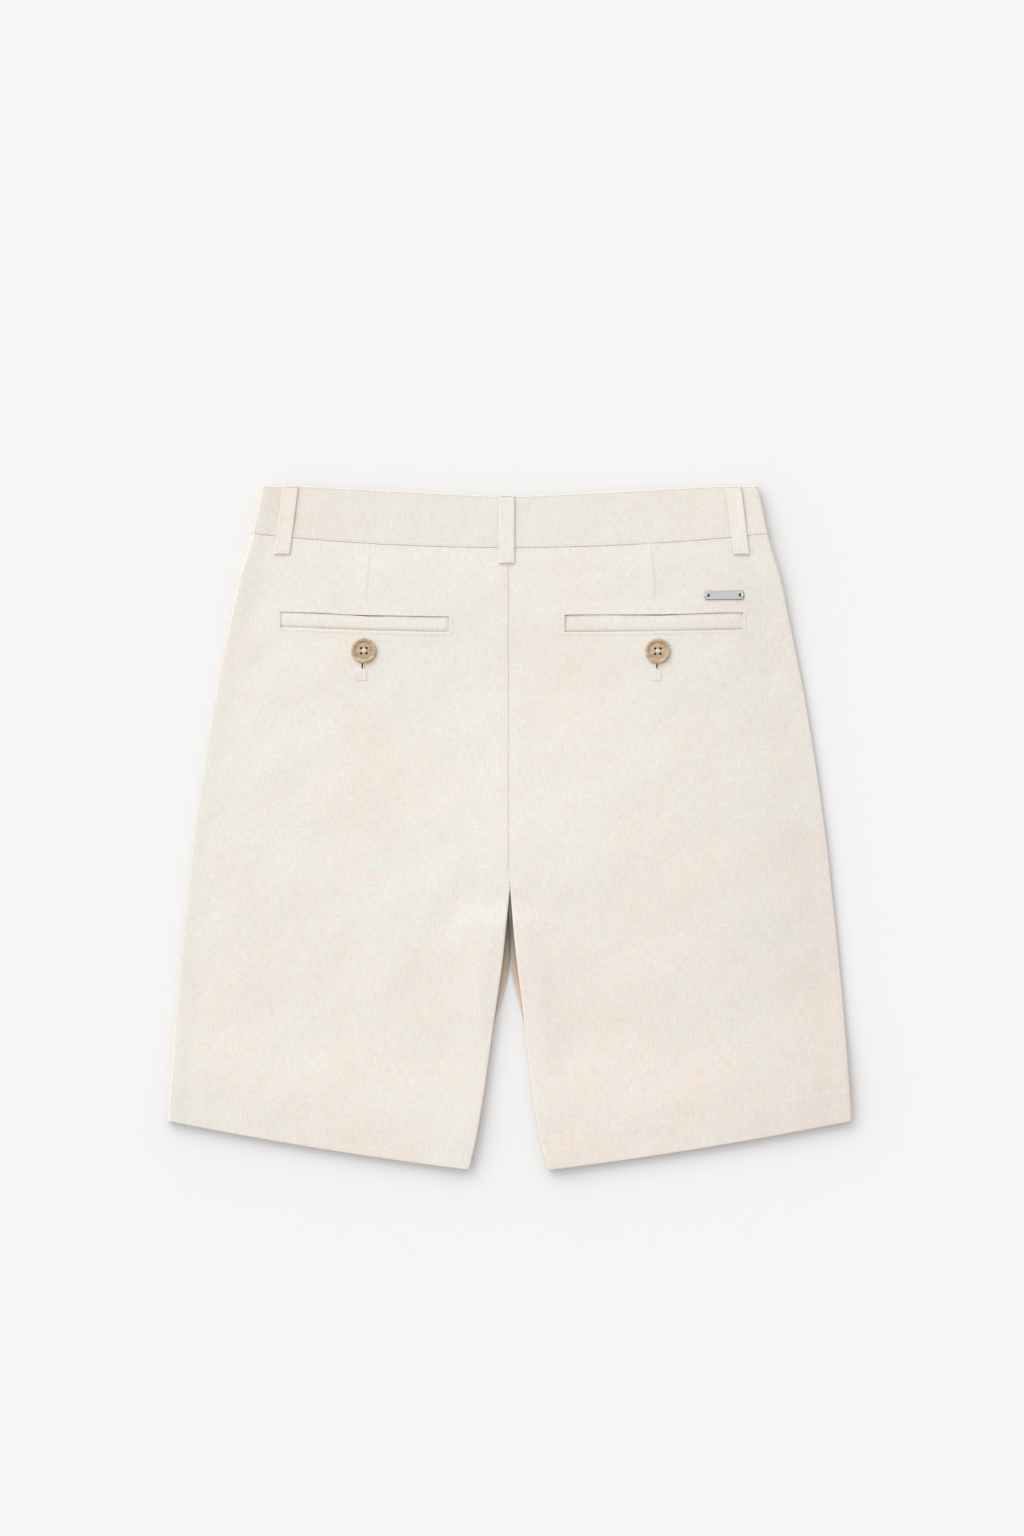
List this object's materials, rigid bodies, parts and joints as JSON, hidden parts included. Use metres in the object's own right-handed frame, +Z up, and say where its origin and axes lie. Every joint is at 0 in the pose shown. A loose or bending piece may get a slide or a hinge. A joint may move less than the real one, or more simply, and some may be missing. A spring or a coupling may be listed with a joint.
{
  "type": "bermuda shorts",
  "caption": "Knee-length cloth shorts laid flat with the back up: folded waistband, belt loops, buttoned welt pockets and turned-up hems.",
  "frame": {"origin": "on the surface that the shorts lie on, under the middle of their outline", "axes": "+Z up out of the back of the shorts, +Y towards the waist, +X towards the wearer's right side"},
  "size_m": [0.5332, 0.533, 0.0084],
  "materials": {
    "cloth": "matte",
    "thread": "matte",
    "horn": "satin",
    "metal": "satin"
  },
  "bodies": {
    "root": {"back_panel_left": "cloth", "back_panel_right": "cloth", "front_panel_left": "cloth", "front_panel_right": "cloth", "waistband_back": "cloth", "waistband_front_left": "cloth", "waistband_front_right": "cloth", "belt_loop_centre": "cloth", "belt_loop_left": "cloth", "belt_loop_right": "cloth", "welt_left": "cloth", "welt_right": "cloth", "button_left": "horn", "button_right": "horn", "name_plate": "metal"}
  },
  "joints": []
}
